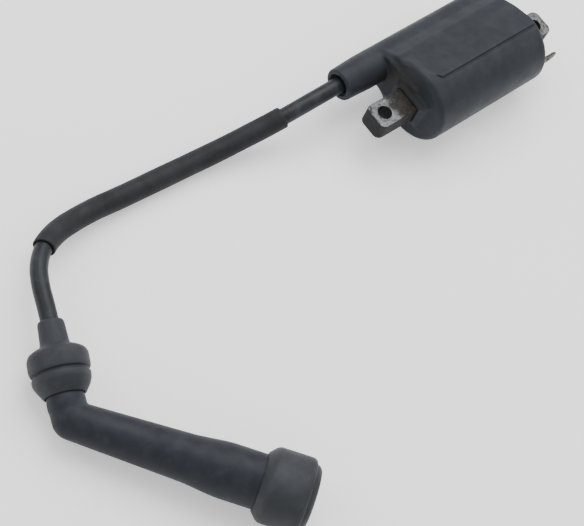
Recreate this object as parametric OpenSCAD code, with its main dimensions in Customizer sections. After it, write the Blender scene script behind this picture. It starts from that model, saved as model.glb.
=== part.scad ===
// Ignition coil for a small engine, with its high-tension lead and its elbow plug cap.
// The coil's core lies along Y and its mounting holes stand along Z. The origin is under
// the middle of the coil, on the surface that it lies on. The lead leaves towards -Y.

/* [Coil housing] */
// Radius of the round main lobe that holds the windings
lobe_r = 18.4; // [17.8:0.1:18.6]
// Length of the moulded body between its two rims
body_len = 64; // [61:0.5:66]
// Wall of the main lobe
wall = 2; // [1.8:0.1:2.2]
// Rounding of the main lobe's rims
rim_round = 1.6; // [0.8:0.1:2]
// Radius of the side tower that takes the lead
tower_r = 7.6; // [7.2:0.1:7.8]
// Radius of the outlet tube at its mouth
mouth_r = 7; // [6.6:0.1:7.1]
// Distance from the main lobe's axis to the tower's axis
tower_offset = 21.5; // [20.5:0.5:23]
// Length of the outlet tube in front of the body
outlet_len = 22.5; // [22:0.5:26]
// Radius of the bore that the lead is potted in
tower_bore_r = 4.75; // [4.6:0.05:5]

/* [Core and mounting lugs] */
// Width of the laminated core
core_w = 12; // [11:0.5:12.5]
// Number of steel sheets in the core
sheet_count = 18; // [16:1:18]
// Height from one sheet to the next
sheet_pitch = 0.5; // [0.45:0.01:0.5]
// Distance between the two mounting holes
hole_spacing = 89; // [88:0.5:90]
// Radius of the mounting holes
hole_r = 3; // [2.6:0.1:3.3]
// Core beyond the middle of each hole
lug_end = 6; // [5.5:0.1:6.5]
// Radius of the lugs' corners
lug_corner = 3; // [1:0.5:4]

/* [Windings] */
// Outer radius of the primary winding
primary_r = 10.2; // [9.6:0.1:10.3]
// Outer radius of the secondary winding
secondary_r = 13.7; // [12.5:0.1:13.9]
// Number of sections on the secondary bobbin
sections = 7; // [5:1:8]

/* [Terminals] */
// Width of the blade terminals
blade_w = 6.3; // [4.8:0.1:6.3]
// Thickness of the blade terminals
blade_t = 0.8; // [0.5:0.1:1]
// Blade beyond the rear rim
blade_out = 15.5; // [13:0.5:15.5]

/* [Lead] */
// Radius of the lead's insulation
lead_r = 3.5; // [3.3:0.1:3.5]
// Radius of the stranded conductor
wire_r = 1.3; // [1:0.1:1.35]
// Outer radius of the protective sleeve
sleeve_r = 4.6; // [4.4:0.1:4.7]

/* [Plug cap] */
// Bend of the elbow, away from straight
cap_bend = 60; // [55:1:65]
// Radius of the neck that the lead enters
neck_r = 7; // [6.8:0.1:7.2]
// Radius of the stem at the elbow
stem_r1 = 7.35; // [7.3:0.05:7.6]
// Radius of the stem where it meets the socket
stem_r2 = 9.3; // [9:0.1:9.8]
// Radius of the socket
socket_r = 10.5; // [10.2:0.1:11]
// Radius of the bore that takes the plug's insulator
plug_bore_r = 6.6; // [6.3:0.1:7]
// Radius of the rubber seal round the socket's mouth
seal_r = 14.4; // [13.5:0.1:14.5]
// Radius of the large ring on the lead boot
boot_r = 11.4; // [11:0.1:11.6]

/* [Hidden] */
$fn = 96;

// Coil: heights, axes and faces
axis_z = lobe_r;
lobe_x = (tower_offset + tower_r - lobe_r) / 2;
tower_x = lobe_x - tower_offset;
body_mid = 3.5;
front_y = body_mid - body_len / 2;
rear_y = body_mid + body_len / 2;
mouth_y = front_y - outlet_len;
front_wall = 2.5;
cavity_r = lobe_r - wall;
core_h = sheet_count * sheet_pitch;
core_gap = 0.1;
collar_w = 19;
collar_h = 17;
collar_out = 1.2;
boss_w = 15;
boss_h = 12;
boss_out = 3;
// The flat label panel leaves the lobe at panel_top and meets the web at the shoulder.
panel_top = [3.5, 18.06];
panel_wall = 1.4;
shoulder = [-15.2, 12.7];
panel_start = 7;

// Windings and what closes them in
bobbin_front = front_y + front_wall + 0.7;
bobbin_rear = rear_y - 7;
flange_t = 0.9;
section_pitch = (bobbin_rear - bobbin_front - flange_t) / sections;
base_y = [rear_y - 5, rear_y - 3.2];
resin_y = [rear_y - 3.1, rear_y - 1.2];
blade_x = 13;
blade_z = -5.4;
window_y = 4;

// Lead: the points that its middle follows, from inside the tower to inside the cap
route = [
    [-16.15, -22, 18.4], [-16.15, -32, 18.4], [-16.15, -42, 18.4], [-16.15, -52, 18.4],
    [-16.2, -61, 18.1], [-16.5, -70, 16.9], [-17.2, -79, 14.7], [-18.4, -88, 11.7],
    [-19.7, -97, 8.9], [-20.9, -106, 6.7], [-22, -116, 5.2], [-22.8, -126, 4.8],
    [-23.4, -136, 4.8], [-24, -146, 4.8], [-24.6, -156, 5.1], [-25, -166, 6.2],
    [-24.5, -176.5, 8.1], [-22.8, -186.6, 10.5], [-19.1, -195.4, 12.6], [-13.3, -201.9, 14.1],
    [-6.2, -206.2, 14.8], [2.4, -209.6, 14.4], [12.3, -213.5, 13.2], [23.2, -218.2, 11.8],
    [34.2, -222.9, 10.4]];
sleeve_from = 6;
sleeve_to = 18;
wire_bore_r = 1.5;
sleeve_bore_r = 3.75;

// Cap: its elbow, the way it lies, and lengths along the stem (s) and along the neck (n)
elbow = [41.5, -226, 9.5];
cap_turn = [10, -4, 36];
bend_r = 9;
bend_cut = bend_r * tan(cap_bend / 2);
neck_end = 22.6;
neck_bore_r = 3.9;
boot_end = 37.5;
socket_s = 53;
seal_s = 72;
spigot_s = 75.5;
body_s = 88;
mouth_s = 92.6;
spigot_r = 9.2;
resistor_s = [9.6, 28.4];
terminal_s = [34.2, 46];
chamber_s = 46;

function unit(v) = v / norm(v);
function way(path, i) = unit(path[min(i + 1, len(path) - 1)] - path[max(i - 1, 0)]);
function ring(path, i, r, sides, ref) =
    let (t = way(path, i), s = unit(cross(t, ref)), u = cross(t, s))
    [for (k = [0 : sides - 1]) path[i] + r * (cos(360 * k / sides) * s + sin(360 * k / sides) * u)];
function rings(path, r, sides, ref) = [for (i = [0 : len(path) - 1]) each ring(path, i, r, sides, ref)];
function part_of(path, first, last) = [for (i = [first : last]) path[i]];

// A tube along a path, solid, or hollow with a bore of radius bore_r
module sweep(path, r, sides, bore_r = 0, ref = [0, 0, 1]) {
    n = len(path);
    inner = n * sides;
    hollow = bore_r > 0;
    points = concat(rings(path, r, sides, ref), hollow ? rings(path, bore_r, sides, ref) : []);
    skin = [for (i = [0 : n - 2], k = [0 : sides - 1])
        let (a = i * sides + k, b = i * sides + (k + 1) % sides)
        each [[a, a + sides, b + sides], [a, b + sides, b]]];
    lining = [for (i = [0 : n - 2], k = [0 : sides - 1])
        let (a = inner + i * sides + k, b = inner + i * sides + (k + 1) % sides)
        each [[a, b + sides, a + sides], [a, b, b + sides]]];
    last = (n - 1) * sides;
    ends = [for (k = [0 : sides - 1]) let (j = (k + 1) % sides)
        each [[k, j, inner + j], [k, inner + j, inner + k],
            [last + k, inner + last + k, inner + last + j], [last + k, inner + last + j, last + j]]];
    caps = [[for (k = [0 : sides - 1]) k], [for (k = [sides - 1 : -1 : 0]) last + k]];
    polyhedron(points, hollow ? concat(skin, lining, ends) : concat(skin, caps));
}

// An outline in X and Z, relative to the main lobe's axis, drawn out from y0 to y1
module along_y(y0, y1) {
    translate([lobe_x, y1, axis_z]) rotate([90, 0, 0]) linear_extrude(y1 - y0) children();
}

// A round bar along Y at x, on the core's height
module rod_y(x, y0, y1, r) {
    translate([x, y1, axis_z]) rotate([90, 0, 0]) cylinder(h = y1 - y0, r = r);
}

// A round tube along Y at x
module tube_y(x, y0, y1, r, bore_r) {
    difference() {
        rod_y(x, y0, y1, r);
        rod_y(x, y0 - 1, y1 + 1, bore_r);
    }
}

// The round space inside the lobe, flat under the label panel, drawn in by gap
module inner_space(y0, y1, gap) {
    far = 40;
    lean = unit(panel_top - shoulder);
    down = (panel_wall + gap) * [lean.y, -lean.x];
    intersection() {
        rod_y(lobe_x, y0, y1, cavity_r - gap);
        along_y(y0 - 1, y1 + 1) polygon([panel_top + far * lean + down,
            shoulder - far * lean + down, [-far, -far], [far, -far]]);
    }
}

// A profile of radius and y, turned about a line along Y at x
module lathe_y(x) {
    translate([x, 0, axis_z]) rotate([-90, 0, 0]) rotate_extrude() children();
}

// The space that the core takes, with a gap all round
module core_space(gap) {
    translate([lobe_x, 0, axis_z]) cube([core_w + 2 * gap, 200, core_h + 2 * gap], center = true);
}

module rounded_rect(w, l, r) {
    square([w, l - 2 * r], center = true);
    square([w - 2 * r, l], center = true);
    for (x = [-1, 1], y = [-1, 1])
        translate([x * (w / 2 - r), y * (l / 2 - r)]) circle(r);
}

// Everything on the cap is drawn with its stem along +X and its elbow at the origin.
module on_stem() {
    translate(elbow) rotate(cap_turn) children();
}
module on_neck() {
    on_stem() rotate([0, 0, 180 - cap_bend]) children();
}
module rod_x(x0, x1, r1, r2) {
    translate([x0, 0, 0]) rotate([0, 90, 0]) cylinder(h = x1 - x0, r1 = r1, r2 = r2);
}
// A profile of radius and x, turned about X
module lathe_x() {
    rotate([0, 90, 0]) rotate_extrude() children();
}
// The elbow of a rod of radius r, between the neck and the stem
module bend(r) {
    translate([bend_cut, bend_r, 0]) rotate([0, 0, -90 - cap_bend])
        rotate_extrude(angle = cap_bend) translate([bend_r, 0]) circle(r);
}

module lobe_profile() {
    c = rim_round * 0.3;
    polygon([[0, front_y], [lobe_r - rim_round, front_y], [lobe_r - c, front_y + c],
        [lobe_r, front_y + rim_round], [lobe_r, rear_y - rim_round], [lobe_r - c, rear_y - c],
        [lobe_r - rim_round, rear_y], [0, rear_y]]);
}

// The tower with its outlet tube, and a rounded rear end
module tower_profile() {
    edge = 0.7;
    taper = 13;
    polygon([[0, mouth_y], [mouth_r - edge, mouth_y], [mouth_r, mouth_y + edge],
        [tower_r, mouth_y + taper], [tower_r, rear_y - 2 * edge], [tower_r - 2 * edge, rear_y], [0, rear_y]]);
}

// The web between lobe and tower, the same above and below the core
module web_outline() {
    rise = 0.1;
    inner_x = -6;
    inner_z = 14.8;
    tower_side = [-26.3, 4.9];
    polygon([[inner_x, inner_z], shoulder + [0, rise], tower_side, [tower_side.x, -tower_side.y],
        [shoulder.x, -shoulder.y - rise], [inner_x, -inner_z]]);
}

// Plate across the front of the web, from the outlet tube to the lug
module front_plate() {
    plate_h = 10;
    translate([-tower_offset, -plate_h / 2]) square([tower_offset, plate_h]);
}

module label_panel() {
    past = shoulder + 0.05 * (shoulder - panel_top);
    along_y(front_y + panel_start, rear_y + 1)
        polygon([panel_top, [panel_top.x, lobe_r + 2], [past.x, lobe_r + 2], past]);
}

module coil_housing() {
    color("#3b4149") difference() {
        union() {
            lathe_y(lobe_x) lobe_profile();
            lathe_y(tower_x) tower_profile();
            along_y(front_y + 0.5, rear_y - 1) web_outline();
            along_y(front_y - collar_out, front_y + 1) front_plate();
            along_y(front_y - collar_out, front_y + 1) square([collar_w, collar_h], center = true);
            along_y(front_y - boss_out, front_y) square([boss_w, boss_h], center = true);
        }
        inner_space(front_y + front_wall, rear_y + 1, 0);
        rod_y(tower_x, mouth_y - 1, 8, tower_bore_r);
        translate([tower_x, -window_y, axis_z - 2.5])
            cube([tower_offset - cavity_r + 0.3, 2 * window_y, 5]);
        core_space(core_gap);
        label_panel();
    }
}

module sheet_outline() {
    difference() {
        rounded_rect(core_w, hole_spacing + 2 * lug_end, lug_corner);
        for (side = [-1, 1]) translate([0, side * hole_spacing / 2]) circle(hole_r);
    }
}

// Stamped steel sheets, stacked and bonded, with a mounting hole through each end. The
// bonding stops short of the sheets' edges, which leaves a fine groove between two sheets.
module core_laminations() {
    groove = 0.05;
    groove_deep = 0.3;
    color("#8f9294") translate([lobe_x, 0, axis_z - core_h / 2]) {
        for (i = [0 : sheet_count - 1])
            translate([0, 0, i * sheet_pitch]) linear_extrude(sheet_pitch - groove) sheet_outline();
        linear_extrude(core_h - sheet_pitch) offset(delta = -groove_deep) sheet_outline();
    }
}

module primary_bobbin() {
    flange_r = primary_r + 0.1;
    color("#b9a77c") difference() {
        union() {
            rod_y(lobe_x, bobbin_front, bobbin_rear, 8.6);
            rod_y(lobe_x, bobbin_front, bobbin_front + flange_t, flange_r);
            rod_y(lobe_x, bobbin_rear - flange_t, bobbin_rear, flange_r);
        }
        core_space(core_gap);
    }
}

module primary_winding() {
    color("#b5652b")
        tube_y(lobe_x, bobbin_front + flange_t + 0.1, bobbin_rear - flange_t - 0.1, primary_r, 8.65);
}

module secondary_bobbin() {
    bore_r = primary_r + 0.2;
    tube_r = 11.2;
    color("#d8d2c0") difference() {
        union() {
            rod_y(lobe_x, bobbin_front, bobbin_rear, tube_r);
            for (i = [0 : sections]) let (y = bobbin_front + i * section_pitch)
                rod_y(lobe_x, y, y + flange_t, secondary_r + 0.5);
        }
        rod_y(lobe_x, bobbin_front - 1, bobbin_rear + 1, bore_r);
    }
}

module secondary_winding() {
    color("#9c4f22") for (i = [0 : sections - 1])
        let (y = bobbin_front + i * section_pitch)
        tube_y(lobe_x, y + flange_t + 0.05, y + section_pitch - 0.05, secondary_r, 11.3);
}

// Resin round the windings, and the cast plug that closes the rear of the housing
module potting_resin() {
    color("#1c1a18") difference() {
        inner_space(front_y + front_wall + 0.1, resin_y[1], 0.05);
        inner_space(front_y, resin_y[0], 0.45);
        core_space(core_gap);
        translate([tower_x, -window_y, axis_z - 2.5]) cube([tower_offset - 13, 2 * window_y, 5]);
        for (side = [-1, 1]) blade_slot(side);
    }
}

// Slot for a terminal's neck, on one side of the core
module blade_slot(side) {
    neck_w = 3.7;
    translate([lobe_x + side * blade_x, rear_y, axis_z + blade_z])
        cube([blade_t + 0.1, 40, neck_w], center = true);
}

// Half-round board that carries the two terminals
module terminal_base() {
    color("#5a3a22") difference() {
        intersection() {
            rod_y(lobe_x, base_y[0], base_y[1], cavity_r - 0.65);
            translate([lobe_x - 20, base_y[0] - 1, 0]) cube([40, 10, axis_z - 0.5]);
        }
        core_space(core_gap + 0.1);
        for (side = [-1, 1]) blade_slot(side);
    }
}

// Blade terminal: a neck through the board and the resin, then the tab
module blade(side) {
    neck = 1.8;
    tip = 1.6;
    half = blade_w / 2;
    from = base_y[0] - 1.6;
    out = rear_y + 0.3;
    end = rear_y + blade_out;
    color("#b9b7ae") translate([lobe_x + side * blade_x - blade_t / 2, 0, axis_z + blade_z])
        rotate([90, 0, 90]) linear_extrude(blade_t) difference() {
            polygon([[from, -neck], [out, -neck], [out, -half], [end - tip, -half],
                [end, -half + tip], [end, half - tip], [end - tip, half], [out, half],
                [out, neck], [from, neck]]);
            translate([end - 4, 0]) circle(0.9);
        }
}

module live_terminal() { blade(1); }
module switched_terminal() { blade(-1); }

// From the ends of the primary winding to the feet of the two terminals
module primary_lead_wires() {
    wire = [[9.4, 0.5, -1.2], [9.6, 0.9, -2], [10.2, 1.2, -3.2], [10.7, 1.2, -4.4], [10.7, 1.2, -5.6]];
    color("#b5652b") for (side = [-1, 1])
        sweep([for (p = wire) [lobe_x + side * p.x, bobbin_rear + p.y, axis_z + p.z]], 0.4, 8,
            ref = [0, 1, 0]);
}

// Brass contact at the bottom of the tower: spike into the lead, disc, and stud to the link
module tower_contact() {
    disc_y = route[0][1];
    color("#b08d3c") lathe_y(tower_x) polygon([[0, disc_y - 8.5], [1.1, disc_y - 6.5],
        [1.1, disc_y], [4.5, disc_y], [4.5, disc_y + 2], [1.6, disc_y + 2], [1.6, 6], [0, 6]]);
}

module ht_link() {
    from = tower_x + 1.65;
    to = lobe_x - secondary_r - 0.05;
    color("#b08d3c") translate([from, 0.5, axis_z - 0.25]) cube([to - from, 2.2, 0.5]);
}

module tower_sealant() {
    color("#2a2620") tube_y(tower_x, mouth_y + 9, mouth_y + 28, tower_bore_r - 0.05, lead_r + 0.1);
}

module tower_grommet() {
    color("#1b1c1f") tube_y(tower_x, mouth_y + 0.8, mouth_y + 8.9, tower_bore_r - 0.05, lead_r + 0.1);
}

module lead_insulation() {
    color("#2c2e33") sweep(route, lead_r, 12, wire_bore_r);
}

// Copper strands, ending short of the two spikes that are driven into the lead
module lead_conductor() {
    core = concat([route[0] + [0, -9, 0]], part_of(route, 2, len(route) - 3),
        [route[len(route) - 2] + [2, -0.85, -0.25]]);
    color("#b5652b") sweep(core, wire_r, 8);
}

module lead_sleeve() {
    color("#2f3236") sweep(part_of(route, sleeve_from, sleeve_to), sleeve_r, 12, sleeve_bore_r);
}

// Rubber boot over the neck, with two gripping rings and a sleeve on the lead
module lead_boot() {
    color("#33363d") on_neck() difference() {
        lathe_x() polygon([[3, 8.8], [9, 8.8], [10.3, 10.3], [10.9, 12.2], [10.9, 16.2],
            [10.3, 16.8], [10.3, 17.3], [11, 17.8], [boot_r, 19.4], [boot_r, 23], [10.8, 24.8],
            [9, 26.1], [6.4, 27], [5.5, 28.4], [5.3, 36.8], [4.9, boot_end], [3, boot_end]]);
        rod_x(8, neck_end + 0.3, neck_r + 0.08, neck_r + 0.08);
        rod_x(neck_end, 45, 3.85, 3.85);
    }
}

// Moulded elbow body, bored for the lead, the contact, the resistor and the plug
module cap_body() {
    color("#363b45") difference() {
        union() {
            on_neck() rod_x(bend_cut - 0.1, neck_end, neck_r, neck_r);
            on_stem() bend(neck_r + 0.3);
            on_stem() rod_x(bend_cut - 0.1, socket_s, stem_r1, stem_r2);
            on_stem() rod_x(socket_s - 1, spigot_s, socket_r, socket_r);
            on_stem() rod_x(spigot_s - 1, body_s, spigot_r, spigot_r);
        }
        on_neck() rod_x(5.6, neck_end + 1, neck_bore_r, neck_bore_r);
        on_neck() rod_x(bend_cut - 0.1, 6, 1.6, 1.6);
        on_stem() bend(1.62);
        on_stem() rod_x(bend_cut - 0.1, 9, 1.6, 1.6);
        on_stem() rod_x(8.9, 35, 3.7, 3.7);
        on_stem() rod_x(34, chamber_s, 5.3, 5.3);
        on_stem() rod_x(chamber_s - 0.1, body_s + 1, plug_bore_r, plug_bore_r);
    }
}

// Wood-screw spike with a round foot: the lead turns onto it
module lead_screw() {
    foot = 5.9;
    first = 8;
    pitch = 1.5;
    turns = 5;
    thread = [for (i = [0 : turns - 1]) each [[0.95, first + i * pitch],
        [1.3, first + (i + 0.5) * pitch], [0.95, first + (i + 0.9) * pitch]]];
    color("#b08d3c") on_neck() lathe_x() polygon(concat([[0, foot], [3.3, foot], [3.3, 7.1],
        [1.2, 7.1]], thread, [[0.8, first + turns * pitch], [0, first + turns * pitch + 2]]));
}

// Bent pin through the elbow, from the screw's foot to the resistor
module cap_contact() {
    color("#b08d3c") {
        on_neck() rod_x(bend_cut - 0.05, 5.85, 1, 1);
        on_stem() bend(1.02);
        on_stem() rod_x(bend_cut - 0.05, resistor_s[0] - 0.05, 1, 1);
    }
}

module resistor() {
    color("#c9c4b6") on_stem() rod_x(resistor_s[0] + 0.6, resistor_s[1] - 0.6, 3.1, 3.1);
}

module resistor_caps() {
    deep = 2.6;
    color("#c2c0ba") on_stem() {
        difference() {
            rod_x(resistor_s[0], resistor_s[0] + deep, 3.5, 3.5);
            rod_x(resistor_s[0] + 0.55, resistor_s[0] + deep + 1, 3.15, 3.15);
        }
        difference() {
            rod_x(resistor_s[1] - deep, resistor_s[1], 3.5, 3.5);
            rod_x(resistor_s[1] - deep - 1, resistor_s[1] - 0.55, 3.15, 3.15);
        }
    }
}

// Coil spring that holds the resistor against the contact
module contact_spring() {
    turns = 5;
    steps = 12;
    coil_r = 2.4;
    wire = 0.35;
    from = resistor_s[1] + wire + 0.05;
    to = terminal_s[0] - wire - 0.05;
    count = turns * steps;
    helix = [for (i = [0 : count])
        [from + (to - from) * i / count, coil_r * cos(360 * i / steps), coil_r * sin(360 * i / steps)]];
    color("#a9abad") on_stem() sweep(helix, wire, 6, ref = [1, 0, 0]);
}

// Brass cup that the plug's top pushes into
module plug_terminal() {
    groove_s = 41;
    color("#b08d3c") on_stem() difference() {
        lathe_x() polygon([[0, terminal_s[0]], [5, terminal_s[0]], [5, groove_s - 0.6], [4.3, groove_s - 0.6],
            [4.3, groove_s + 0.6], [5, groove_s + 0.6], [5, terminal_s[1] - 0.6], [4.4, terminal_s[1]],
            [0, terminal_s[1]]]);
        rod_x(terminal_s[0] + 1.6, terminal_s[1] + 1, 3.25, 3.25);
    }
}

// Open spring ring in the terminal's groove
module retaining_clip() {
    gap = 50;
    color("#a9abad") on_stem() translate([41, 0, 0]) rotate([0, 90, 0])
        rotate_extrude(angle = 360 - gap) translate([4.75, 0]) circle(0.4);
}

// Rubber seal round the socket's mouth, with a coned shoulder
module plug_seal() {
    color("#33363d") on_stem() difference() {
        lathe_x() polygon([[4, seal_s], [socket_r + 0.4, seal_s], [socket_r + 0.9, seal_s + 0.4],
            [seal_r - 0.8, seal_s + 2.2], [seal_r - 0.2, seal_s + 2.9], [seal_r, seal_s + 3.8],
            [seal_r, mouth_s - 5.4], [seal_r - 0.3, mouth_s - 3.8], [seal_r - 1.2, mouth_s - 2.2],
            [seal_r - 2.6, mouth_s - 1], [seal_r - 4.4, mouth_s - 0.3], [seal_r - 6, mouth_s],
            [4, mouth_s]]);
        rod_x(seal_s - 1, spigot_s + 0.05, socket_r + 0.05, socket_r + 0.05);
        rod_x(spigot_s, body_s + 0.1, spigot_r + 0.05, spigot_r + 0.05);
        rod_x(body_s, mouth_s + 1, plug_bore_r + 0.3, plug_bore_r + 0.3);
    }
}

coil_housing();
core_laminations();
primary_bobbin();
primary_winding();
secondary_bobbin();
secondary_winding();
potting_resin();
terminal_base();
live_terminal();
switched_terminal();
primary_lead_wires();
tower_contact();
ht_link();
tower_sealant();
tower_grommet();
lead_insulation();
lead_conductor();
lead_sleeve();
lead_boot();
cap_body();
lead_screw();
cap_contact();
resistor();
resistor_caps();
contact_spring();
plug_terminal();
retaining_clip();
plug_seal();
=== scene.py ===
import math

import bmesh
import bpy
import numpy as np
from mathutils import Euler, Matrix, Vector


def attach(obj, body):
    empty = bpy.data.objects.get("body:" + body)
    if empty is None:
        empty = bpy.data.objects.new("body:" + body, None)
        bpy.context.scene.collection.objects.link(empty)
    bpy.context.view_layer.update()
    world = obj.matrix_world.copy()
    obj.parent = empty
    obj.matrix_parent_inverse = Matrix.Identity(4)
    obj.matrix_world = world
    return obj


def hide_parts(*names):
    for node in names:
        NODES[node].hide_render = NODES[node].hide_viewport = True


# Ignition coil with its high-tension lead and elbow plug cap: the looks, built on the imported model.
# Shapes are in millimetres, as in part.scad, and place_mesh() makes them metres.

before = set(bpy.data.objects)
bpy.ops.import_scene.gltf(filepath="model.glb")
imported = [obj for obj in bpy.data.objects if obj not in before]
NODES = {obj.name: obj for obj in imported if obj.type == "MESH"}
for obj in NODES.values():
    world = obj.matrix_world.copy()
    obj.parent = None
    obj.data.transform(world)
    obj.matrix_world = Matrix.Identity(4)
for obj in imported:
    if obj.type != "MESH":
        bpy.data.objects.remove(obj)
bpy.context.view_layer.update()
MM = 0.001

# Coil, as in part.scad
LOBE_R = 18.4
LOBE_X = 5.35
TOWER_R = 7.6
MOUTH_R = 7
TOWER_X = -16.15
AXIS_Z = 18.4
FRONT_Y = -28.5
REAR_Y = 35.5
MOUTH_Y = -51
WALL = 2
CORE_W = 12
CORE_H = 9
HOLE_Y = 44.5
HOLE_R = 3
BLADE_X = 13
BLADE_Z = -5.4
RESIN_Y = (32.4, 34.3)
PANEL_WALL = 1.4
# The web's side, its shoulder and the panel's top edge: sideways and up from the lobe's axis
WEB_U = -26.3
SHOULDER = (-15.2, 12.7)
PANEL_TOP = (3.5, 18.06)
# The gap round the core where it passes through the body
CORE_GAP = 0.12

# Lead and cap, as in part.scad
LEAD_R = 3.5
ROUTE = [
    (-16.15, -22, 18.4), (-16.15, -32, 18.4), (-16.15, -42, 18.4), (-16.15, -52, 18.4),
    (-16.2, -61, 18.1), (-16.5, -70, 16.9), (-17.2, -79, 14.7), (-18.4, -88, 11.7),
    (-19.7, -97, 8.9), (-20.9, -106, 6.7), (-22, -116, 5.2), (-22.8, -126, 4.8),
    (-23.4, -136, 4.8), (-24, -146, 4.8), (-24.6, -156, 5.1), (-25, -166, 6.2),
    (-24.5, -176.5, 8.1), (-22.8, -186.6, 10.5), (-19.1, -195.4, 12.6), (-13.3, -201.9, 14.1),
    (-6.2, -206.2, 14.8), (2.4, -209.6, 14.4), (12.3, -213.5, 13.2), (23.2, -218.2, 11.8),
    (34.2, -222.9, 10.4)]
# The route's points between which the sleeve lies
SLEEVE_FROM = 6
SLEEVE_TO = 18
# The cap's elbow, its turn about X, Y and Z, and the angle that it bends through
ELBOW = (41.5, -226, 9.5)
CAP_TURN = (10, -4, 36)
CAP_BEND = 60
# Along the stem from the elbow
STEM_END = 75.5
SPIGOT_END = 88
NECK_R = 7.0
# Steps of the smooth line in each stretch of the route
STEPS = 8


# ---------------------------------------------------------------- places and meshes

def stem_frame():
    """The cap's frame in mm: its stem runs along +X from the elbow."""
    turn = Euler([math.radians(a) for a in CAP_TURN], "XYZ").to_matrix().to_4x4()
    return Matrix.Translation(ELBOW) @ turn


def neck_frame():
    """The same for the neck, which runs along +X towards the lead."""
    return stem_frame() @ Matrix.Rotation(math.radians(180 - CAP_BEND), 4, "Z")


def coil_frame(x):
    """A frame whose +X runs along the coil's +Y, on the core's height."""
    return Matrix.Translation((x, 0, AXIS_Z)) @ Matrix.Rotation(math.radians(90), 4, "Z")


def place_mesh(name, verts, faces, where, body, material, replaces):
    """A smooth mesh piece from points in mm, given in the frame where, that stands for a CAD node."""
    mesh = bpy.data.meshes.new(name)
    points = [(where @ Vector(v)) * MM for v in verts]
    mesh.from_pydata([tuple(p) for p in points], [], [tuple(int(i) for i in f) for f in faces])
    mesh.update()
    clean(mesh)
    mesh.materials.append(material)
    obj = bpy.data.objects.new(name, mesh)
    bpy.context.scene.collection.objects.link(obj)
    mesh.shade_smooth()
    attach(obj, body)
    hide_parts(replaces)
    return obj


def clean(mesh):
    """Joined doubles, and faces that all look outwards."""
    work = bmesh.new()
    work.from_mesh(mesh)
    bmesh.ops.remove_doubles(work, verts=work.verts, dist=1e-6)
    bmesh.ops.recalc_face_normals(work, faces=work.faces)
    work.to_mesh(mesh)
    work.free()


def smooth_path(points, steps=STEPS):
    """A smooth line through the points, with steps parts between each two."""
    p = [np.array(q, float) for q in points]
    p = [2 * p[0] - p[1]] + p + [2 * p[-1] - p[-2]]
    line = []
    for i in range(1, len(p) - 2):
        for k in range(steps):
            line.append(spline_point(p[i - 1:i + 3], k / steps))
    line.append(p[-2])
    return line


def spline_point(four, t):
    """A point of the curve between the middle two of four points, from t = 0 to 1."""
    a, b, c, d = four
    return 0.5 * (2 * b + (c - a) * t + (2 * a - 5 * b + 4 * c - d) * t ** 2
                  + (3 * b - a - 3 * c + d) * t ** 3)


def rounded(outline, parts=4):
    """A closed outline of (a, b, radius) with its corners rounded. A missing radius is a sharp corner."""
    out = []
    count = len(outline)
    for i, corner in enumerate(outline):
        here = np.array(corner[:2], float)
        radius = corner[2] if len(corner) > 2 else 0
        if radius <= 0:
            out.append(here)
            continue
        back = np.array(outline[i - 1][:2], float) - here
        on = np.array(outline[(i + 1) % count][:2], float) - here
        reach = min(radius, 0.48 * np.linalg.norm(back), 0.48 * np.linalg.norm(on))
        start = here + back / np.linalg.norm(back) * reach
        end = here + on / np.linalg.norm(on) * reach
        for k in range(parts + 1):
            t = k / parts
            out.append((1 - t) ** 2 * start + 2 * t * (1 - t) * here + t ** 2 * end)
    return out


def lathe(profile, sides=128, wobble=None):
    """Points and faces of a closed profile of (radius, x), turned about X."""
    verts = []
    for k in range(sides):
        a = 2 * math.pi * k / sides
        for r, x in profile:
            grow = wobble(a, x) if wobble else 0
            verts.append((x, (r + grow) * math.cos(a), (r + grow) * math.sin(a)))
    n = len(profile)
    faces = []
    for k in range(sides):
        for i in range(n):
            a, b = k * n + i, k * n + (i + 1) % n
            c, d = ((k + 1) % sides) * n + (i + 1) % n, ((k + 1) % sides) * n + i
            faces.append((a, b, c, d))
    return verts, faces


def tube(path, profile, sides, wobble):
    """A tube with a wall along a path. Its closed profile is (radius, point of the path, mm past it)."""
    verts = []
    up = np.array((0, 0, 1.0))
    rings = []
    for i, p in enumerate(path):
        along = path[min(i + 1, len(path) - 1)] - path[max(i - 1, 0)]
        along /= np.linalg.norm(along)
        side = np.cross(along, up)
        side /= np.linalg.norm(side)
        rings.append((p, along, side, np.cross(side, along)))
    for r, i, past in profile:
        p, along, side, top = rings[i]
        for k in range(sides):
            a = 2 * math.pi * k / sides
            grown = r + wobble(a, i)
            v = p + past * along + grown * (math.cos(a) * side + math.sin(a) * top)
            verts.append(tuple(v))
    n = len(profile)
    faces = []
    for i in range(n):
        for k in range(sides):
            a, b = i * sides + k, i * sides + (k + 1) % sides
            c, d = ((i + 1) % n) * sides + (k + 1) % sides, ((i + 1) % n) * sides + k
            faces.append((a, b, c, d))
    return verts, faces


# ---------------------------------------------------------------- moulded shapes
# A moulding is a field: below zero inside it and above zero outside, in mm.

def join(a, b, soft):
    """Two fields as one solid, with a fillet of about soft mm where they meet."""
    h = np.clip(0.5 + 0.5 * (b - a) / soft, 0, 1)
    return b * (1 - h) + a * h - soft * h * (1 - h)


def cut(a, b, soft):
    """Field a without field b, with its edges rounded by about soft mm."""
    return -join(-a, b, soft)


def common(a, b, soft):
    """What fields a and b share, with its edges rounded by about soft mm."""
    return -join(-a, -b, soft)


def rod(across, along, radius, low, high, edge):
    """A round bar from low to high, its rims rounded by edge."""
    past_side = across - (radius - edge)
    past_end = np.abs(along - (low + high) / 2) - ((high - low) / 2 - edge)
    inside = np.minimum(np.maximum(past_side, past_end), 0)
    return inside + np.hypot(np.maximum(past_side, 0), np.maximum(past_end, 0)) - edge


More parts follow.
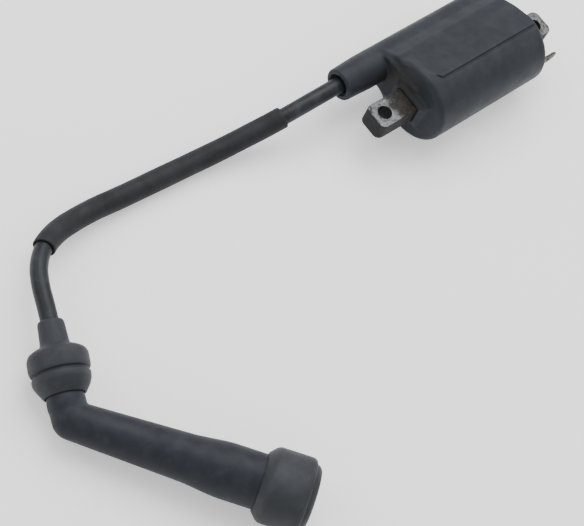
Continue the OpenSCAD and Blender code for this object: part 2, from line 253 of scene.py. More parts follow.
def block(gaps, edge):
    """A block from each axis's distance past its faces, its edges rounded."""
    gaps = [g + edge for g in gaps]
    inside = np.minimum(np.maximum(np.maximum(gaps[0], gaps[1]), gaps[2]), 0)
    outside = np.sqrt(sum(np.maximum(g, 0) ** 2 for g in gaps))
    return inside + outside - edge


def past_plane(u, v, a, b):
    """Distance past the line from a to b, on its left hand."""
    along = np.array(b, float) - np.array(a, float)
    along /= np.linalg.norm(along)
    return (v - a[1]) * along[0] - (u - a[0]) * along[1]


def capsule(x, y, z, a, b, radius):
    """A bar with round ends from a to b."""
    a = np.array(a, float)
    way = np.array(b, float) - a
    t = ((x - a[0]) * way[0] + (y - a[1]) * way[1] + (z - a[2]) * way[2]) / way.dot(way)
    t = np.clip(t, 0, 1)
    return np.sqrt((x - a[0] - t * way[0]) ** 2 + (y - a[1] - t * way[1]) ** 2
                   + (z - a[2] - t * way[2]) ** 2) - radius


# A grid cell's corners, and its 12 edges as pairs of corners
CORNERS = [(i, j, k) for i in (0, 1) for j in (0, 1) for k in (0, 1)]
EDGES = [(a, b) for a in CORNERS for b in CORNERS if a < b and sum(a) + 1 == sum(b)
         and sum(abs(p - q) for p, q in zip(a, b)) == 1]


def skin(field, low, high, step):
    """Points and faces of the surface where the field is zero, one point in each cell it crosses."""
    axes = [np.arange(a - 2 * step, b + 3 * step, step) for a, b in zip(low, high)]
    value = field(*np.meshgrid(*axes, indexing="ij"))
    inside = value < 0
    shape = tuple(n - 1 for n in value.shape)
    total = np.zeros(shape + (3,), np.float32)
    count = np.zeros(shape, np.float32)
    for a, b in EDGES:
        va, vb = shifted(value, a, shape), shifted(value, b, shape)
        crosses = shifted(inside, a, shape) != shifted(inside, b, shape)
        t = np.where(crosses, va / np.where(crosses, va - vb, 1), 0)
        for d in range(3):
            total[..., d] += np.where(crosses, a[d] + t * (b[d] - a[d]), 0)
        count += crosses
    active = count > 0
    index = np.full(shape, -1)
    index[active] = np.arange(active.sum())
    cells = np.argwhere(active)
    points = (cells + total[active] / count[active][:, None]) * step
    points += np.array([a[0] for a in axes])
    points = settle(field, points, step)
    faces = np.concatenate([walls(inside, index, d) for d in range(3)])
    return points.tolist(), faces.tolist()


def shifted(grid, corner, shape):
    """The grid's values at one corner of every cell."""
    i, j, k = corner
    return grid[i:i + shape[0], j:j + shape[1], k:k + shape[2]]


def walls(inside, index, d):
    """The faces across grid edges along axis d, looking out of the solid."""
    order = (d, (d + 1) % 3, (d + 2) % 3)
    solid = np.transpose(inside, order)
    cell = np.transpose(index, order)
    here, there = solid[:-1, 1:-1, 1:-1], solid[1:, 1:-1, 1:-1]
    i, j, k = np.nonzero(here != there)
    outward = here[i, j, k]
    j, k = j + 1, k + 1
    quad = np.stack([cell[i, j - 1, k - 1], cell[i, j, k - 1], cell[i, j, k], cell[i, j - 1, k]], 1)
    quad[~outward] = quad[~outward][:, ::-1]
    return quad


def settle(field, points, step):
    """The points, moved onto the surface."""
    tiny = 0.02
    for _ in range(3):
        x, y, z = points.T
        value = field(x, y, z)
        slope = np.stack([
            field(x + tiny, y, z) - field(x - tiny, y, z),
            field(x, y + tiny, z) - field(x, y - tiny, z),
            field(x, y, z + tiny) - field(x, y, z - tiny)], 1) / (2 * tiny)
        size = np.maximum((slope ** 2).sum(1), 0.2)
        move = slope * (value / size)[:, None]
        far = np.maximum(np.linalg.norm(move, axis=1) / (0.6 * step), 1)
        points = points - move / far[:, None]
    return points


# ---------------------------------------------------------------- materials

class Paint:
    """A procedural material, made of nodes that read the object's own coordinates in metres."""

    def __init__(self, name):
        self.material = bpy.data.materials.new(name)
        self.material.use_nodes = True
        self.tree = self.material.node_tree
        self.shader = self.tree.nodes["Principled BSDF"]
        self.place = self.tree.nodes.new("ShaderNodeTexCoord")

    def node(self, kind, **settings):
        made = self.tree.nodes.new(kind)
        for key, value in settings.items():
            setattr(made, key, value)
        return made

    def link(self, out, into):
        self.tree.links.new(out, into)

    def noise(self, scale, detail=4.0, stretch=None, roughness=0.55):
        """Noise from 0 to 1, with scale features to a metre. A stretch below 1 draws them out."""
        made = self.node("ShaderNodeTexNoise")
        made.inputs["Scale"].default_value = scale
        made.inputs["Detail"].default_value = detail
        made.inputs["Roughness"].default_value = roughness
        source = self.place.outputs["Object"]
        if stretch:
            mapping = self.node("ShaderNodeMapping")
            mapping.inputs["Scale"].default_value = stretch
            self.link(source, mapping.inputs["Vector"])
            source = mapping.outputs["Vector"]
        self.link(source, made.inputs["Vector"])
        return made.outputs["Fac"]

    def remap(self, value, low, high, to_low, to_high):
        """The value moved from the range low to high into the range to_low to to_high."""
        made = self.node("ShaderNodeMapRange")
        made.inputs["From Min"].default_value = low
        made.inputs["From Max"].default_value = high
        made.inputs["To Min"].default_value = to_low
        made.inputs["To Max"].default_value = to_high
        self.link(value, made.inputs["Value"])
        return made.outputs["Result"]

    def sum(self, a, b):
        return self.math("ADD", a, b)

    def product(self, a, b):
        return self.math("MULTIPLY", a, b)

    def math(self, how, a, b=0.0):
        made = self.node("ShaderNodeMath", operation=how)
        for i, value in enumerate((a, b)):
            if isinstance(value, (int, float)):
                made.inputs[i].default_value = value
            else:
                self.link(value, made.inputs[i])
        return made.outputs[0]

    def mix(self, share, a, b):
        """Colour a where share is 0 and colour b where it is 1."""
        made = self.node("ShaderNodeMix", data_type="RGBA")
        self.link(share, made.inputs[0])
        for socket, value in ((made.inputs[6], a), (made.inputs[7], b)):
            if isinstance(value, tuple):
                socket.default_value = value + (1.0,)
            else:
                self.link(value, socket)
        return made.outputs[2]

    def facing(self, direction, low, high):
        """From 0 to 1 as the surface turns to face a direction of the object."""
        dot = self.node("ShaderNodeVectorMath", operation="DOT_PRODUCT")
        self.link(self.place.outputs["Normal"], dot.inputs[0])
        dot.inputs[1].default_value = direction
        return self.remap(dot.outputs["Value"], low, high, 0, 1)

    def near(self, centre, low, high):
        """From 1 to 0 as the distance from a point in metres grows from low to high."""
        gap = self.node("ShaderNodeVectorMath", operation="DISTANCE")
        self.link(self.place.outputs["Object"], gap.inputs[0])
        gap.inputs[1].default_value = centre
        return self.remap(gap.outputs["Value"], low, high, 1, 0)

    def axis(self, name):
        split = self.node("ShaderNodeSeparateXYZ")
        self.link(self.place.outputs["Object"], split.inputs[0])
        return split.outputs[name]

    def bump(self, heights):
        """Bumps one on another: (height, depth in mm)."""
        last = None
        for height, depth in heights:
            made = self.node("ShaderNodeBump")
            made.inputs["Strength"].default_value = 1.0
            made.inputs["Distance"].default_value = depth * MM
            self.link(height, made.inputs["Height"])
            if last:
                self.link(last, made.inputs["Normal"])
            last = made.outputs["Normal"]
        self.link(last, self.shader.inputs["Normal"])

    def finish(self, colour, rough, metallic=0.0, specular=0.5):
        self.link(colour, self.shader.inputs["Base Color"])
        self.link(rough, self.shader.inputs["Roughness"])
        self.shader.inputs["Metallic"].default_value = metallic
        self.shader.inputs["Specular IOR Level"].default_value = specular
        return self.material


def moulding(name, dark, light, dust, rough, grain=900, depth=0.02, specular=0.2, grime_at=None):
    """Moulded plastic or rubber: cloudy colour, fine grain, scuffs, and dust on what looks up."""
    paint = Paint(name)
    cloud = paint.remap(paint.noise(45, 3), 0.3, 0.7, 0, 1)
    fine = paint.noise(grain, 3, roughness=0.6)
    scuff = paint.remap(paint.noise(260, 6, stretch=(1, 0.25, 1)), 0.56, 0.74, 0, 1)
    base = paint.mix(cloud, dark, light)
    drifts = paint.remap(paint.noise(180, 6), 0.4, 0.7, 0, 0.18)
    settled = paint.product(paint.facing((0, 0, 1), 0.1, 1.0), drifts)
    colour = paint.mix(settled, base, dust)
    colour = paint.mix(paint.product(scuff, 0.22), colour, dust)
    if grime_at:
        patches = paint.remap(paint.noise(240, 6), 0.35, 0.6, 0.1, 0.8)
        stain = paint.product(paint.near(grime_at, 0.004, 0.013), patches)
        colour = paint.mix(stain, colour, (0.036, 0.032, 0.024))
    broad = paint.remap(paint.noise(120, 4), 0.3, 0.7, rough - 0.06, rough + 0.07)
    roughness = paint.sum(broad, paint.product(scuff, 0.1))
    paint.bump([(paint.noise(140, 3), depth * 3), (fine, depth)])
    return paint.finish(colour, roughness, specular=specular)


def metal(name, dark, light, rough, grain=1500, stretch=None, metallic=1.0):
    """Plain metal, dulled in patches, with fine marks."""
    paint = Paint(name)
    patch = paint.remap(paint.noise(220, 6), 0.35, 0.65, 0, 1)
    marks = paint.noise(grain, 4, stretch=stretch)
    colour = paint.mix(patch, dark, light)
    worn = paint.remap(patch, 0, 1, rough + 0.15, rough)
    roughness = paint.sum(worn, paint.remap(marks, 0.3, 0.7, -0.05, 0.05))
    paint.bump([(marks, 0.01)])
    return paint.finish(colour, roughness, metallic=metallic)


def lug_steel():
    """Core steel: bare and worn round the holes' tops, dark lacquer elsewhere, grime at the roots."""
    paint = Paint("core_steel")
    speck = paint.noise(900, 5, roughness=0.7)
    blotch = paint.noise(260, 6)
    specks = paint.remap(speck, 0.38, 0.6, 0, 1)
    bare = paint.mix(specks, (0.05, 0.052, 0.055), (0.132, 0.136, 0.14))
    clouds = paint.remap(blotch, 0.35, 0.65, 0, 1)
    lacquer = paint.mix(clouds, (0.014, 0.0145, 0.015), (0.024, 0.025, 0.026))
    crumbs = paint.remap(speck, 0.4, 0.6, 0, 1)
    grime = paint.mix(crumbs, (0.012, 0.011, 0.0095), (0.03, 0.028, 0.023))
    # Distances from the core's middle in metres, with a ragged line between the finishes
    root, tip, ragged = 0.0385, 0.05, 0.0022
    out = paint.math("ABSOLUTE", paint.axis("Y"))
    reach = paint.sum(out, paint.remap(blotch, 0.3, 0.7, -ragged, ragged))
    past_root = paint.remap(reach, root, root + 0.003, 0, 1)
    before_tip = paint.remap(reach, tip - 0.0003, tip + 0.0003, 1, 0)
    top = paint.facing((0, 0, 1), 0.75, 0.93)
    worn = paint.product(paint.product(past_root, before_tip), top)
    worn = paint.product(worn, paint.remap(speck, 0.34, 0.46, 0.25, 1))
    rooted = paint.remap(reach, root, root + 0.004, 1, 0)
    colour = paint.mix(rooted, lacquer, grime)
    colour = paint.mix(worn, colour, bare)
    roughness = paint.remap(worn, 0, 1, 0.65, 0.42)
    paint.link(paint.remap(worn, 0, 1, 0.1, 0.75), paint.shader.inputs["Metallic"])
    paint.bump([(blotch, 0.05), (speck, 0.03)])
    return paint.finish(colour, roughness, specular=0.25)


def lead_skin():
    """Smooth lead insulation: slightly glossy, with faint ripples and rubbed dust."""
    paint = Paint("lead_jacket")
    cloud = paint.remap(paint.noise(60, 4), 0.35, 0.65, 0, 1)
    colour = paint.mix(cloud, (0.011, 0.013, 0.016), (0.019, 0.022, 0.027))
    rub = paint.remap(paint.noise(240, 6), 0.52, 0.75, 0, 0.35)
    colour = paint.mix(rub, colour, (0.055, 0.06, 0.066))
    gloss = paint.remap(paint.noise(150, 4), 0.3, 0.7, 0.4, 0.5)
    roughness = paint.sum(gloss, paint.product(rub, 0.3))
    paint.bump([(paint.noise(90, 2), 0.12), (paint.noise(1400, 3), 0.008)])
    return paint.finish(colour, roughness, specular=0.25)


def wound_wire(name, dark, light, pitch):
    """Enamelled wire in turns along Y, with a ridge to each turn, its colour painted darker in the
    grooves as shade and lighter on the crests as a highlight. The pitch is in mm.
    """
    paint = Paint(name)
    turns = paint.math("SINE", paint.product(paint.axis("Y"), 2 * math.pi / (pitch * MM)))
    turn_height_and_shade = paint.remap(turns, -1, 1, 0, 1)
    # Painted shade and highlight: the colour is darker in the grooves between turns and lighter on the
    # crests.
    colour = paint.mix(turn_height_and_shade, dark, light)
    paint.bump([(turn_height_and_shade, pitch * 0.5)])
    return paint.finish(colour, paint.remap(paint.noise(300), 0.3, 0.7, 0.25, 0.4), metallic=0.9)


HOUSING = moulding(
    "housing", dark=(0.02, 0.023, 0.029), light=(0.027, 0.031, 0.038), dust=(0.06, 0.065, 0.073),
    rough=0.5, specular=0.14,
    grime_at=((LOBE_X - 6) * MM, (FRONT_Y - 3) * MM, (AXIS_Z + 5) * MM))
CAP = moulding(
    "cap_plastic", dark=(0.017, 0.019, 0.025), light=(0.023, 0.026, 0.033), dust=(0.062, 0.066, 0.077),
    rough=0.5, grain=1100, specular=0.14)
RUBBER = moulding(
    "cap_rubber", dark=(0.024, 0.026, 0.031), light=(0.033, 0.036, 0.041), dust=(0.075, 0.078, 0.085),
    rough=0.56, grain=1300, depth=0.03)
SLEEVE = moulding(
    "sleeve", dark=(0.011, 0.012, 0.014), light=(0.018, 0.02, 0.023), dust=(0.05, 0.053, 0.057),
    rough=0.6, grain=1500, depth=0.03)
SEAL = moulding(
    "seal_rubber", dark=(0.007, 0.007, 0.008), light=(0.012, 0.012, 0.014), dust=(0.03, 0.03, 0.03),
    rough=0.6)
RESIN = moulding(
    "resin", dark=(0.012, 0.011, 0.01), light=(0.019, 0.017, 0.015), dust=(0.045, 0.042, 0.038),
    rough=0.42, grain=400, specular=0.15)
BOARD = moulding(
    "board", dark=(0.16, 0.085, 0.04), light=(0.26, 0.15, 0.08), dust=(0.3, 0.25, 0.2), rough=0.55)
NYLON = moulding(
    "bobbin_plastic", dark=(0.5, 0.43, 0.28), light=(0.66, 0.58, 0.4), dust=(0.7, 0.66, 0.58), rough=0.4)
CERAMIC = moulding(
    "ceramic", dark=(0.66, 0.62, 0.54), light=(0.8, 0.77, 0.7), dust=(0.7, 0.68, 0.62), rough=0.65)
BLADE = metal(
    "tinned_steel", dark=(0.03, 0.027, 0.022), light=(0.1, 0.091, 0.078), rough=0.45, grain=1400,
    stretch=(1, 0.15, 1), metallic=0.85)
BRASS = metal("brass", dark=(0.42, 0.29, 0.11), light=(0.66, 0.49, 0.22), rough=0.28)
SPRING = metal("spring_steel", dark=(0.32, 0.32, 0.32), light=(0.55, 0.55, 0.55), rough=0.25)
# Magnet wire: dark is painted shade in the grooves between turns, and light is a painted highlight on the
# crests.
COPPER = wound_wire("magnet_wire", dark=(0.25, 0.08, 0.03), light=(0.72, 0.3, 0.12), pitch=0.6)
CORE = lug_steel()
LEAD = lead_skin()


# ---------------------------------------------------------------- camera, lead and sleeve

def make_camera():
    """The photograph's view: a long lens above the lead, rolled about its own line of sight."""
    place = Vector((0.1765, -0.4275, 0.5777))
    target = Vector((0.033, -0.1094, 0))
    roll = math.radians(30.5)
    focal_mm = 104.6
    data = bpy.data.cameras.new("camera")
    data.sensor_width = 36
    data.lens = focal_mm
    camera = bpy.data.objects.new("camera", data)
    bpy.context.scene.collection.objects.link(camera)
    look = (target - place).to_track_quat("-Z", "Y").to_matrix().to_4x4()
    camera.matrix_world = Matrix.Translation(place) @ look @ Matrix.Rotation(roll, 4, "Z")
    bpy.context.scene.camera = camera


def make_lead():
    """The lead's insulation as a round curve, and the points that it follows, in mm."""
    path = smooth_path(ROUTE)
    curve = bpy.data.curves.new("lead_jacket", "CURVE")
    curve.dimensions = "3D"
    curve.bevel_depth = LEAD_R * MM
    curve.bevel_resolution = 10
    curve.use_fill_caps = True
    spline = curve.splines.new("POLY")
    spline.points.add(len(path) - 1)
    for point, place in zip(spline.points, path):
        point.co = tuple(place * MM) + (1.0,)
    spline.use_smooth = True
    curve.materials.append(LEAD)
    lead = bpy.data.objects.new("lead_jacket", curve)
    bpy.context.scene.collection.objects.link(lead)
    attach(lead, "coil")
    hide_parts("lead_insulation")
    return lead, path


def make_sleeve(path):
    """Loose sleeving on the lead, cut square, with the slight waves of an old sleeve."""
    first = SLEEVE_FROM * STEPS
    last = SLEEVE_TO * STEPS
    outer, inner, lip, bevel, wave = 4.55, 3.72, 0.3, 0.1, 0.05
    profile = [(inner, first, bevel), (outer - lip, first, 0), (outer, first, lip)]
    profile += [(outer, i, 0) for i in range(first + 1, last)]
    profile += [(outer, last, -lip), (outer - lip, last, 0), (inner, last, -bevel)]
    profile += [(inner, i, 0) for i in range(last - 1, first, -1)]

    def waves(a, i):
        return wave * math.sin(0.23 * i + 2 * math.sin(a)) * math.sin(0.11 * i + a)

    verts, faces = tube(path, profile, sides=48, wobble=waves)
    return place_mesh("sleeve", verts, faces, Matrix.Identity(4), "coil", SLEEVE,
                      "lead_sleeve")


# ---------------------------------------------------------------- plug cap and its boot

def cap_field(x, y, z):
    """The cap's moulding: a round elbow, neck, tapered stem and spigot, less its stepped bore."""
    lean = math.radians(CAP_BEND)
    n = -math.cos(lean) * x + math.sin(lean) * y
    off = np.hypot(math.sin(lean) * x + math.cos(lean) * y, z)
    across = np.hypot(y, z)
    stem = np.maximum(np.hypot(across, np.maximum(1 - x, 0)) - stem_radius(x), x - STEM_END)
    elbow = capsule(x, y, z, (0.25, 0.43, 0), (-3, 5.2, 0), radius=7.1)
    neck = rod(off, n, radius=NECK_R, low=4, high=22.6, edge=0.4)
    spigot = rod(across, x, radius=9.2, low=STEM_END - 1.5, high=SPIGOT_END, edge=0.5)
    solid = join(join(stem, elbow, 0.8), neck, 0.8)
    solid = join(solid, spigot, 0.6)
    solid = cut(solid, rod(off, n, radius=3.9, low=5.6, high=30, edge=0.3), 0.4)
    # The stem's bores, for the screw, the resistor and the plug
    for radius, low, high, soft in ((3.7, 8.9, 36, 0.1), (5.3, 34, 47, 0.1), (6.6, 46, 95, 0.5)):
        solid = cut(solid, rod(across, x, radius, low, high, edge=0.1), soft)
    return solid


def stem_radius(x):
    """The stem's radius: a slow taper, and then a swell to the socket."""
    root_r, taper, taper_to = 7.25, 1.9, 48
    swell, swell_from, swell_to = 1.3, 44, 60
    t = np.clip((x - swell_from) / (swell_to - swell_from), 0, 1)
    return root_r + taper * np.clip(x / taper_to, 0, 1) + swell * t * t * (3 - 2 * t)


def make_cap_body():
    low, high = (-11, -12, -12), (SPIGOT_END + 1, 24, 12)
    verts, faces = skin(cap_field, low, high, step=0.6)
    return place_mesh("cap_moulding", verts, faces, stem_frame(), "plug_cap", CAP,
                      "cap_body")


def make_boot():
    """The rubber boot: two rings on the neck, and then a tube on the lead."""
    outline = [
        (7.08, 9.6, 0.3), (7.4, 8.8, 0.2), (7.9, 8.9, 0.3), (10.0, 12.0, 0.5), (11.0, 14.2, 0.6),
        (11.1, 16.3, 0.4), (10.2, 16.9, 0.3), (10.2, 17.4, 0.3), (11.2, 17.9, 0.4), (11.5, 19.2, 0.9),
        (11.45, 23.5, 0.9), (10.7, 25.2, 0.9), (8.4, 26.7, 1.2), (6.0, 27.5, 0.8), (5.5, 29.2, 1.2),
        (5.0, 36.6, 0.6), (4.6, 37.5, 0.4), (3.85, 37.5, 0.3), (3.85, 22.9, 0.2), (7.08, 22.9, 0.2)]

    def uneven(a, x):
        return 0.06 * math.sin(3 * a + x) + 0.05 * math.sin(2 * a - 0.5 * x)

    verts, faces = lathe(rounded(outline), wobble=uneven)
    return place_mesh("boot", verts, faces, neck_frame(), "boot", RUBBER, "lead_boot")


def make_seal():
    """The seal: a rolled rear rim, a straight side, and two lips round its mouth."""
    outline = [
        (10.6, 72.0, 0.2), (11.2, 72.0, 0.3), (11.7, 72.5, 0.4), (13.6, 74.3, 0.8), (14.35, 75.6, 0.9),
        (14.4, 88.4, 0.9), (13.6, 89.8, 0.7), (12.5, 89.9, 0.25), (12.1, 91.2, 0.6), (10.8, 92.3, 0.8),
        (8.5, 92.5, 0.5), (8.2, 91.6, 0.4), (7.7, 91.4, 0.3), (7.3, 92.0, 0.4), (6.85, 91.6, 0.3),
        (6.9, 88.2, 0.3), (9.3, 88.2, 0.2), (9.3, 75.7, 0.2), (10.6, 75.6, 0.2)]
    verts, faces = lathe(rounded(outline), sides=144)
    return place_mesh("seal", verts, faces, stem_frame(), "plug_cap", RUBBER, "plug_seal")


# ---------------------------------------------------------------- coil

def housing_field(x, y, z):
    """The body: lobe, web, panel, front plate and tower, less the coil's space and the lead's bore."""
    u = x - LOBE_X
    w = z - AXIS_Z
    across = np.hypot(u, w)
    beside = np.hypot(x - TOWER_X, w)
    lobe = rod(across, y, LOBE_R, FRONT_Y, REAR_Y, edge=2.4)
    solid = label_panel(join(lobe, web(u, y, w), 1.0), u, y, w)
    solid = join(solid, front_plate(u, y, w), 2.5)
    solid = join(solid, tower(beside, y), 1.2)
    solid = join(solid, collar(u, y, w), 0.5)
    solid = join(solid, boss(u, y, w), 1.6)
    space = rod(across, y, LOBE_R - WALL, FRONT_Y + 2.5, REAR_Y + 9, edge=0.2)
    space = np.maximum(space, past_plane(u, w, SHOULDER, PANEL_TOP) + PANEL_WALL)
    solid = cut(solid, space, 0.6)
    solid = cut(solid, rod(beside, y, radius=4.75, low=MOUTH_Y - 9, high=8, edge=0.2), 0.7)
    slot = [np.abs(u) - CORE_W / 2 - CORE_GAP, np.abs(w) - CORE_H / 2 - CORE_GAP, np.abs(y) - 60]
    return cut(solid, block(slot, edge=0.3), 0.5)


def tower(beside, y):
    """The side tower, which narrows to its mouth."""
    narrow = 13
    radius = MOUTH_R + (TOWER_R - MOUTH_R) * np.clip((y - MOUTH_Y) / narrow, 0, 1)
    return rod(beside + TOWER_R - radius, y, TOWER_R, MOUTH_Y, REAR_Y - 0.3, edge=1.0)


def collar(u, y, w):
    """The low square collar round the boss."""
    return block([np.abs(u) - 9.4, np.abs(w) - 8.4, np.abs(y - FRONT_Y) - 1.2], edge=0.6)


def boss(u, y, w):
    """The sloping boss that the lug comes out of."""
    lean = 0.35 * (FRONT_Y - y)
    return block([np.abs(u) - 8.4 + lean, np.abs(w) - 7 + lean, np.abs(y - FRONT_Y) - 3], edge=1.3)


def web(u, y, w):
    """The wedge between lobe and tower."""
    slope = past_plane(u, np.abs(w), (WEB_U, 4.9), SHOULDER)
    roof = past_plane(u, np.abs(w), SHOULDER, PANEL_TOP)
    solid = common(slope, roof, 0.3)
    solid = np.maximum(np.maximum(solid, u + 5), WEB_U - u)
    middle = (REAR_Y + FRONT_Y) / 2
    return common(solid, np.abs(y - middle) - (REAR_Y - FRONT_Y) / 2 + 0.5, 1.2)


def front_plate(u, y, w):
    """The plate across the web's front, from the outlet tube to the lug."""
    plate = block([np.abs(u + 11) - 11, np.abs(w) - 9.6, np.abs(y - FRONT_Y) - 1.2], edge=0.9)
    return common(plate, past_plane(u, np.abs(w), (WEB_U, 3.9), (SHOULDER[0], SHOULDER[1] - 1)), 1.2)


def label_panel(solid, u, y, w):
    """A flat panel on the tower's side of the lobe, with a groove at its edge that hooks at the front."""
    start = FRONT_Y + 6.5
    flat = past_plane(u, w, SHOULDER, PANEL_TOP)
    ramp = np.maximum(start - y, 0) * 0.35
    solid = common(solid, flat - ramp, 0.5)
    floor, groove_r = 17.65, 0.55
    low = np.minimum(w, floor)
    corner = (4.0, start + 1, floor)
    groove = capsule(u, y, low, corner, (4.0, REAR_Y + 2, floor), groove_r)
    hook = capsule(u, y, low, corner, (1.9, start + 0.1, floor - 0.3), groove_r)
    return cut(solid, np.minimum(groove, hook), 0.3)


def make_housing():
    low, high = (-25, MOUTH_Y, -0.2), (LOBE_X + LOBE_R, REAR_Y, 2 * AXIS_Z)
    verts, faces = skin(housing_field, low, high, step=0.45)
    return place_mesh("housing", verts, faces, Matrix.Identity(4), "coil", HOUSING,
                      "coil_housing")


def rounded_rect(w, l, radius, inset, parts=8):
    """An outline with round corners, anticlockwise, drawn in by inset."""
    w, l, radius = w / 2 - inset, l / 2 - inset, max(radius - inset, 0.2)
    out = []
    for sx, sy, turn in ((1, 1, 0), (-1, 1, 90), (-1, -1, 180), (1, -1, 270)):
        for k in range(parts + 1):
            a = math.radians(turn + 90 * k / parts)
            u = sx * (w - radius) + radius * math.cos(a)
            v = sy * (l - radius) + radius * math.sin(a)
            out.append((u, v))
    return out


def hole_outline(y, radius, parts):
    """A hole's outline, clockwise, with its centre y along the second axis."""
    turns = [-2 * math.pi * k / parts for k in range(parts)]
    return [(radius * math.cos(a), y + radius * math.sin(a)) for a in turns]


def stack(loops, levels, place):
    """Points and faces of a plate. Each loop gives its outline for an inset, at each (height, inset)."""
    work = bmesh.new()
    ends = {0: [], len(levels) - 1: []}
    for loop in loops:
        rows = []
        for height, inset in levels:
            rows.append([work.verts.new(place(u, v, height)) for u, v in loop(inset)])
        for a, b in zip(rows[:-1], rows[1:]):
            for k in range(len(a)):
                n = (k + 1) % len(a)
                work.faces.new((a[k], a[n], b[n], b[k]))
        for i, rim in ends.items():
            row = rows[i]
            rim += [work.edges.get((row[k], row[(k + 1) % len(row)])) for k in range(len(row))]
    for rim in ends.values():
        bmesh.ops.triangle_fill(work, use_beauty=True, edges=rim)
    work.verts.index_update()
    verts = [tuple(v.co) for v in work.verts]
    faces = [[v.index for v in f.verts] for f in work.faces]
    work.free()
    return verts, faces


def sheet_levels():
    """The core's (height, inset) levels: a groove between two sheets, rolled edges top and bottom."""
    sheets, groove, deep, roll, worn = 18, 0.05, 0.09, 0.45, 0.03
    sheet = CORE_H / sheets
    levels = []
    for i in range(sheets):
        base = -CORE_H / 2 + i * sheet
        top = base + sheet - groove
        bottom_roll = roll if i == 0 else 0
        top_roll = roll if i == sheets - 1 else 0
        levels += [(base + 0.01, bottom_roll or worn), (base + 0.06, bottom_roll * 0.4)]
        levels += [(top - 0.04, top_roll * 0.4), (top, top_roll or worn)]
        if i < sheets - 1:
            levels += [(top + 0.005, deep), (base + sheet - 0.005, deep)]
    return levels


def make_core():
    """The stack of sheets with its two mounting holes."""
    loops = [lambda inset: rounded_rect(CORE_W, 2 * HOLE_Y + CORE_W, 3, inset)]
    for y in (HOLE_Y, -HOLE_Y):
        loops.append(lambda inset, y=y: hole_outline(y, HOLE_R + 0.6 * inset, 40))
    verts, faces = stack(loops, sheet_levels(), lambda u, v, height: (u, v, height))
    core = place_mesh("core", verts, faces, Matrix.Translation((LOBE_X, 0, AXIS_Z)), "coil", CORE,
                      "core_laminations")
    core.data.set_sharp_from_angle(angle=math.radians(40))
    return core


def make_blade(side, node):
    """A blade with a blunt tapered tip, a dimpled hole and softened edges."""
    neck, half, tip, thick = 1.8, 3.15, 1.5, 0.8
    start, out, end = REAR_Y - 6.6, REAR_Y + 0.3, REAR_Y + 15.5
    upper = [(out, neck, 0.4), (out, half, 0.5), (end - 2.4, half, 1), (end, half - tip, 0.8)]
    lower = [(y, -z, radius) for y, z, radius in upper]
    outline = rounded([(start, -neck)] + lower + upper[::-1] + [(start, neck)])
    hole = hole_outline(0, 0.9, 24)
    hole_y = end - 5
    middle = (start + end) / 2
    loops = [lambda inset: [drawn_in(p, middle, inset, half) for p in outline],
             lambda inset: [drawn_in((hole_y + y, z), hole_y, inset, half) for y, z in hole]]
    levels = [(-thick / 2, 0.12), (-0.28, 0), (0.28, 0), (thick / 2, 0.12)]
    verts, faces = stack(loops, levels, lambda u, v, height: (height, u, v))
    where = Matrix.Translation((LOBE_X + side * BLADE_X, 0, AXIS_Z + BLADE_Z))
    blade = place_mesh("blade_" + node, verts, faces, where, "coil", BLADE, node)
    blade.data.set_sharp_from_angle(angle=math.radians(50))
    return blade


def drawn_in(point, middle, inset, half):
    """A point of the blade's outline, drawn in by inset, less so near the blade's centre line."""
    y, z = point
    along = inset * np.sign(y - middle) * (abs(z) < half)
    across = inset * np.sign(z) * min(abs(z) / half, 1)
    return (y - along, z - across)


def resin_field(x, y, z):
    """The resin's rear face: slightly wavy, and climbing the wall and the blades as it set."""
    u = x - LOBE_X
    w = z - AXIS_Z
    across = np.hypot(u, w)
    wall = np.minimum(LOBE_R - WALL - across, -PANEL_WALL - past_plane(u, w, SHOULDER, PANEL_TOP))
    level = RESIN_Y[1] - 0.15 + climb(wall, 0.55, 0.8)
    level = level + 0.12 * np.sin(0.35 * u + 1) * np.cos(0.3 * w)
    for side in (-1, 1):
        gap = np.maximum(np.abs(u - side * BLADE_X) - 0.4, np.abs(w - BLADE_Z) - 1.8)
        level = level + climb(gap, 0.5, 0.6)
    solid = np.maximum(np.maximum(0.05 - wall, RESIN_Y[0] - y), y - level)
    core = np.maximum(np.abs(u) - CORE_W / 2 - 0.1, np.abs(w) - CORE_H / 2 - 0.1)
    return np.maximum(solid, -core)


def climb(gap, height, fade):
    """How high resin creeps up a wall that is gap away."""
    return height * np.exp(-np.maximum(gap, 0) / fade)


def make_resin():
    low = (LOBE_X - 16.5, RESIN_Y[0] - 0.5, 1)
    high = (LOBE_X + 16.5, REAR_Y, 2 * AXIS_Z - 1)
    verts, faces = skin(resin_field, low, high, step=0.4)
    return place_mesh("resin_face", verts, faces, Matrix.Identity(4), "coil", RESIN,
                      "potting_resin")


def make_grommet():
    """The rubber grommet in the tower's mouth, dished to the lead."""
    outline = [
        (4.7, MOUTH_Y + 8.9, 0.2), (4.7, MOUTH_Y + 1.2, 0.4), (4.35, MOUTH_Y + 0.7, 0.4),
        (3.95, MOUTH_Y + 1.0, 0.4), (3.62, MOUTH_Y + 2.4, 0.4), (3.6, MOUTH_Y + 8.9, 0.2)]
    verts, faces = lathe(rounded(outline), sides=72)
    return place_mesh("grommet", verts, faces, coil_frame(TOWER_X), "coil", SEAL,
                      "tower_grommet")


# ---------------------------------------------------------------- scene

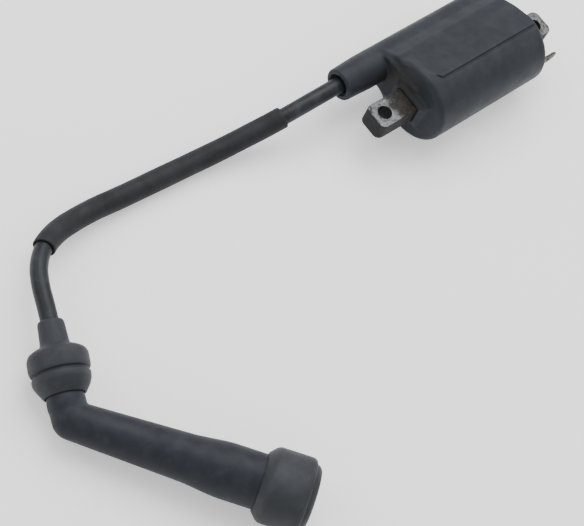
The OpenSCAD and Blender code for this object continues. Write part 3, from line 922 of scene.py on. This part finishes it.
def cover_cad_nodes():
    """A finish for every CAD node that stays."""
    finishes = {
        "primary_bobbin": NYLON, "secondary_bobbin": NYLON, "primary_winding": COPPER,
        "secondary_winding": COPPER, "primary_lead_wires": COPPER, "lead_conductor": COPPER,
        "terminal_base": BOARD, "tower_contact": BRASS, "ht_link": BRASS, "tower_sealant": RESIN,
        "lead_screw": BRASS, "cap_contact": BRASS, "plug_terminal": BRASS, "resistor": CERAMIC,
        "resistor_caps": BLADE, "contact_spring": SPRING, "retaining_clip": SPRING}
    for node, material in finishes.items():
        mesh = NODES[node].data
        mesh.materials.clear()
        mesh.materials.append(material)


def make_floor():
    """A pale floor, brightened a little so that the object stands on near white."""
    size, glow = 3.0, 0.45
    mesh = bpy.data.meshes.new("floor")
    corners = [(-size, -size, 0), (size, -size, 0), (size, size, 0), (-size, size, 0)]
    mesh.from_pydata(corners, [], [(0, 1, 2, 3)])
    paint = Paint("floor")
    tone = paint.mix(paint.remap(paint.noise(8), 0.3, 0.7, 0, 1), (0.86, 0.86, 0.86), (0.88, 0.88, 0.88))
    paint.shader.inputs["Emission Color"].default_value = (1, 1, 1, 1)
    paint.shader.inputs["Emission Strength"].default_value = glow
    mesh.materials.append(paint.finish(tone, paint.remap(paint.noise(30), 0.3, 0.7, 0.7, 0.75)))
    floor = bpy.data.objects.new("floor", mesh)
    bpy.context.scene.collection.objects.link(floor)


def make_light(name, place, target, size, power):
    data = bpy.data.lights.new(name, "AREA")
    data.shape = "DISK"
    data.size = size
    data.energy = power
    light = bpy.data.objects.new(name, data)
    bpy.context.scene.collection.objects.link(light)
    aim = (Vector(target) - Vector(place)).to_track_quat("-Z", "Y").to_matrix().to_4x4()
    light.matrix_world = Matrix.Translation(place) @ aim


def make_lights():
    """A broad key from behind the coil, a weak fill and back light, and an even pale sky."""
    middle = (0.0, -0.1, 0.0)
    make_light("key", (-0.45, 0.45, 1.4), middle, size=1.4, power=24)
    make_light("fill", (-0.9, -0.7, 1.05), middle, size=0.6, power=4)
    make_light("back", (0.5, 1.2, 1.0), middle, size=1.2, power=6)
    world = bpy.data.worlds.new("studio")
    world.use_nodes = True
    sky = world.node_tree.nodes["Background"]
    sky.inputs["Color"].default_value = (1, 1, 1, 1)
    sky.inputs["Strength"].default_value = 0.75
    bpy.context.scene.world = world


make_camera()
lead, lead_path = make_lead()
sleeve = make_sleeve(lead_path)
cap_body = make_cap_body()
boot = make_boot()
seal = make_seal()
make_housing()
make_core()
make_blade(1, "live_terminal")
make_blade(-1, "switched_terminal")
make_resin()
make_grommet()
cover_cad_nodes()
make_floor()
make_lights()
